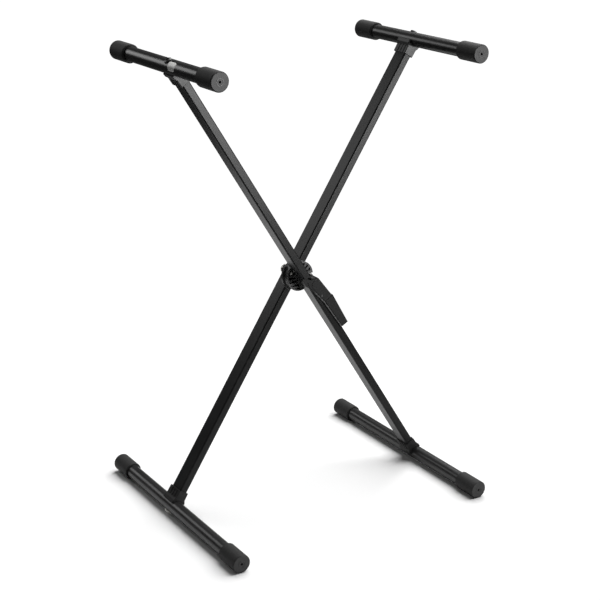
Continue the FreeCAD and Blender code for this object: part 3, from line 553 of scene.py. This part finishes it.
def model_bolt():
    """A domed socket bolt along Z, its head hollowed to sit on the round tube, whose middle is at z = 0."""
    seat = TUBE_RADIUS - BOLT_SKIRT
    bolt = add_cylinder(BOLT_HEAD, seat, TUBE_RADIUS + BOLT_DOME - DOME_RISE)
    pick_faces(bolt, lambda middle, normal: normal.z > 0.9)
    for i in range(DOME_STEPS):
        near, far = (math.radians(90 * k / (DOME_STEPS + 2)) for k in (i, i + 1))
        inward = BOLT_HEAD * (math.cos(near) - math.cos(far))
        step_face(inward, DOME_RISE * (math.sin(far) - math.sin(near)))
    bpy.ops.object.mode_set(mode="OBJECT")
    top = max(v.co.z for v in bolt.data.vertices)
    socket = add_cylinder(HEX_KEY / math.sqrt(3), top - HEX_DEEP, top + HEX_DEEP, sides=6)
    combine(bolt, socket, "DIFFERENCE")
    tube = add_cylinder(TUBE_RADIUS, -2 * BOLT_HEAD, 2 * BOLT_HEAD, sides=96)
    tube.data.transform(Matrix.Rotation(math.radians(90), 4, "X"))
    combine(bolt, tube, "DIFFERENCE")
    tip = TUBE_RADIUS - shank_reach("left_arm_bolt")
    shank = add_cylinder(BOLT_SHANK, tip, TUBE_RADIUS - BOLT_SKIRT / 2, sides=32)
    bevel(shank, SHANK_CHAMFER)
    combine(bolt, shank, "UNION")
    bevel(bolt, HEAD_EDGE)
    return bolt


def shank_reach(bolt):
    """About how far a front leg's bolt reaches in from the tube's skin, worked out from its leaning box."""
    low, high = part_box(bolt)
    across = (high.y - low.y) * math.sin(abs(LEAN["front"]))
    return (high.z - low.z - across) / math.cos(LEAN["front"]) - BOLT_DOME


def leg_end(part, lean, y):
    """The matrix that sets a piece, modelled up Z from the tube's middle, at a leg's arm or foot."""
    turn = Matrix.Rotation(lean + (math.pi if part == "foot" else 0), 4, "Y")
    return Matrix.Translation(PIVOT + Vector((0, y, 0))) @ turn @ Matrix.Translation((0, 0, ARM_REACH))


def add_bolts():
    """The four bolts of the arms and feet, copied from one."""
    pattern = model_bolt()
    for leg, lean in LEAN.items():
        oxide, zinc = black_oxide(f"{leg}_head_oxide", lean), zinc_plate(f"{leg}_head_zinc", lean)
        finish = {"arm": oxide, "foot": zinc}
        for end in ENDS[leg]:
            part = end.split("_")[1]
            matrix = leg_end(part, lean, leg_depth(leg)[0])
            bolt = set_down(copy_of(pattern), f"{end}_socket_bolt", matrix, finish[part])
            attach(bolt, f"{leg}_frame")
            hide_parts(f"{end}_bolt")
            "bolt_black" if part == "arm" else "zinc_hardware"
    drop(pattern)


NUT_WIDE = 16.0 * MM
NUT_BODY = 0.68
CORNER_TURN = 0.985
CORNER_ROUND = 1.1 * MM
COLLAR_RADIUS = 7.0 * MM
COLLAR_ROLL = 1.0 * MM
COLLAR_SUNK = 0.4 * MM
INSERT_RADIUS = 6.0 * MM
INSERT_DEEP = 1.0 * MM
INSERT_DROP = 0.25 * MM
THREAD_RADIUS = 5.05 * MM
SLACK = 0.01 * MM
PAST = 1.0 * MM


def add_locknut():
    """The pivot's locknut on the back: a hexagon with turned corners, a rolled collar and an insert."""
    low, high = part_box("pivot_locknut")
    thick = high.y - low.y
    body_top = thick * NUT_BODY
    corner = NUT_WIDE / math.sqrt(3)
    nut = add_cylinder(corner, 0, body_top, sides=6)
    turned = add_cylinder(corner * CORNER_TURN, -SLACK / 10, body_top + SLACK / 10, sides=72)
    bevel(turned, CORNER_ROUND, segments=3, sharper_than=60)
    combine(nut, turned, "INTERSECT")
    collar = add_cylinder(COLLAR_RADIUS, body_top - COLLAR_SUNK, thick, sides=64)
    bevel(collar, COLLAR_ROLL, segments=4, sharper_than=60)
    combine(nut, collar, "UNION")
    combine(nut, add_cylinder(INSERT_RADIUS, thick - INSERT_DEEP, thick + PAST, sides=64), "DIFFERENCE")
    combine(nut, add_cylinder(THREAD_RADIUS, -PAST, thick + PAST, sides=64), "DIFFERENCE")
    bevel(nut, 0.15 * MM)
    insert = add_cylinder(INSERT_RADIUS - 2 * SLACK, thick - INSERT_DEEP, thick - INSERT_DROP, sides=64)
    hole = add_cylinder(THREAD_RADIUS + SLACK, thick - INSERT_DEEP - PAST, thick + PAST, sides=64)
    combine(insert, hole, "DIFFERENCE")
    bevel(insert, 0.12 * MM)
    stand_up = Matrix.Translation((PIVOT.x, low.y, PIVOT.z)) @ Matrix.Rotation(math.radians(-90), 4, "X")
    set_down(nut, "pivot_collar_nut", stand_up, zinc_plate("nut_zinc", LEAN["front"]))
    set_down(insert, "nut_insert", stand_up, insert_nylon("insert_nylon"))
    for piece, slot in ((nut, "zinc_hardware"), (insert, "black_nylon")):
        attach(piece, "front_frame")
    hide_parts("pivot_locknut")


SPRING_COIL = 3.6 * MM
SPRING_WIRE = 0.55 * MM
SPRING_TURNS = 5
STEPS_A_TURN = 28
WIRE_SIDES = 12
SPRING_NEAR = 7.6 * MM
SPRING_FAR = 19.2 * MM
SPRING_DOWN = 66.0 * MM


def add_return_spring():
    """The coil from the leg's side to the lever."""
    climb = SPRING_FAR - SPRING_NEAR - 2 * SPRING_WIRE
    start = (SPRING_COIL, 0, SPRING_WIRE)
    edge_on = (math.radians(90), 0, 0)
    bpy.ops.object.select_all(action="DESELECT")
    wire = {"vertices": WIRE_SIDES, "radius": SPRING_WIRE}
    bpy.ops.mesh.primitive_circle_add(rotation=edge_on, location=start, **wire)
    coil = bpy.context.object
    bpy.ops.object.transform_apply(location=True, rotation=True, scale=True)
    turns = {"iterations": SPRING_TURNS, "steps": STEPS_A_TURN, "render_steps": STEPS_A_TURN}
    apply_modifier(coil, "SCREW", axis="Z", screw_offset=climb / SPRING_TURNS, **turns)
    bpy.ops.object.mode_set(mode="EDIT")
    bpy.ops.mesh.select_all(action="SELECT")
    bpy.ops.mesh.remove_doubles(threshold=SLACK)
    bpy.ops.mesh.fill_holes(sides=0)
    bpy.ops.mesh.normals_make_consistent(inside=False)
    bpy.ops.object.mode_set(mode="OBJECT")
    level = leg_depth("front")[0]
    leg = Matrix.Translation(PIVOT) @ Matrix.Rotation(LEAN["front"], 4, "Y")
    quarter = Matrix.Rotation(math.radians(90), 4, "Y")
    seat = Matrix.Translation((SPRING_NEAR, level, -SPRING_DOWN)) @ quarter
    set_down(coil, "trigger_spring", leg @ seat, bare_steel("spring_steel", LEAN["front"], 0.35, 0.22))
    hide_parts("return_spring")
    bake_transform(coil)


add_bolts()
add_locknut()
add_return_spring()

# ---------------------------------------------------------------- floor, world, lights

BACKDROP_SEEN = 1.05
ROOM_SHED = 0.05
FLOOR_RADIUS = 0.75
FLOOR_MIDDLE = (0, 0.2, 0)

# From the first to the second place along X, the floor's grey goes from the first tone to the second.
FLOOR_SPAN = (0.3, -0.6)
FLOOR_TONES = (0.70, 0.93)


def add_floor():
    """A pale round floor under the stand, beyond which there is only the white backdrop."""
    bpy.ops.object.select_all(action="DESELECT")
    shape = {"vertices": 128, "radius": FLOOR_RADIUS, "fill_type": "NGON"}
    bpy.ops.mesh.primitive_circle_add(location=FLOOR_MIDDLE, **shape)
    floor = bpy.context.object
    floor.name = "studio_floor"
    f = Finish("studio_floor")
    # It is a little darker towards the overhead lamp, so that it looks evenly white and shows soft shadows.
    east = f.split(f.node("ShaderNodeTexCoord", output="Object"))[0]
    tone = f.mix(east.over(*FLOOR_SPAN), *map(grey, FLOOR_TONES))
    f.set(Base_Color=tone, Roughness=0.95, Specular_IOR_Level=0.1)
    floor.data.materials.append(f.material)


def softbox(name, place, aim, wide, high, power, spread):
    """A rectangular studio light at place, facing aim, whose light fans out by spread degrees."""
    data = bpy.data.lights.new(name, "AREA")
    data.shape = "RECTANGLE"
    data.size = wide
    data.size_y = high
    data.energy = power
    data.spread = math.radians(spread)
    lamp = bpy.data.objects.new(name, data)
    scene.collection.objects.link(lamp)
    lamp.location = place
    lamp.rotation_euler = (Vector(aim) - Vector(place)).to_track_quat("-Z", "Y").to_euler()
    return lamp


def light_world(seen, shed):
    """A backdrop that shows as white, in a room that sheds only a little light of its own."""
    world = bpy.data.worlds.new("studio")
    scene.world = world
    world.use_nodes = True
    tree = world.node_tree
    tree.nodes.clear()
    room = tree.nodes.new("ShaderNodeBackground")
    room.inputs["Strength"].default_value = shed
    backdrop = tree.nodes.new("ShaderNodeBackground")
    backdrop.inputs["Strength"].default_value = seen
    for light in (room, backdrop):
        light.inputs["Color"].default_value = (1, 1, 1, 1)
    rays = tree.nodes.new("ShaderNodeLightPath")
    blend = tree.nodes.new("ShaderNodeMixShader")
    output = tree.nodes.new("ShaderNodeOutputWorld")
    tree.links.new(rays.outputs["Is Camera Ray"], blend.inputs["Fac"])
    tree.links.new(room.outputs[0], blend.inputs[1])
    tree.links.new(backdrop.outputs[0], blend.inputs[2])
    tree.links.new(blend.outputs[0], output.inputs["Surface"])


SOFTBOXES = {
    # name: place, aim, width, height, watts, spread
    "overhead": ((1.4, 0.25, 2.5), (0, 0.1, 0), 3.4, 3.4, 195, 180),
    "front_low": ((1.3, -2.6, 0.35), (0, 0, 0.8), 1.3, 0.6, 7, 45),
    "back_left": ((-1.15, 2.3, 1.55), (0, 0, 0.6), 1.1, 0.9, 10, 180),
}

add_floor()
light_world(BACKDROP_SEEN, ROOM_SHED)
for name, settings in SOFTBOXES.items():
    lamp = softbox(name, *settings)
    lamp.visible_camera = False
    # The low lamp is there for its reflection in the painted fronts, and sheds no light of its own.
    lamp.visible_diffuse = name != "front_low"
scene.view_settings.view_transform = "Standard"
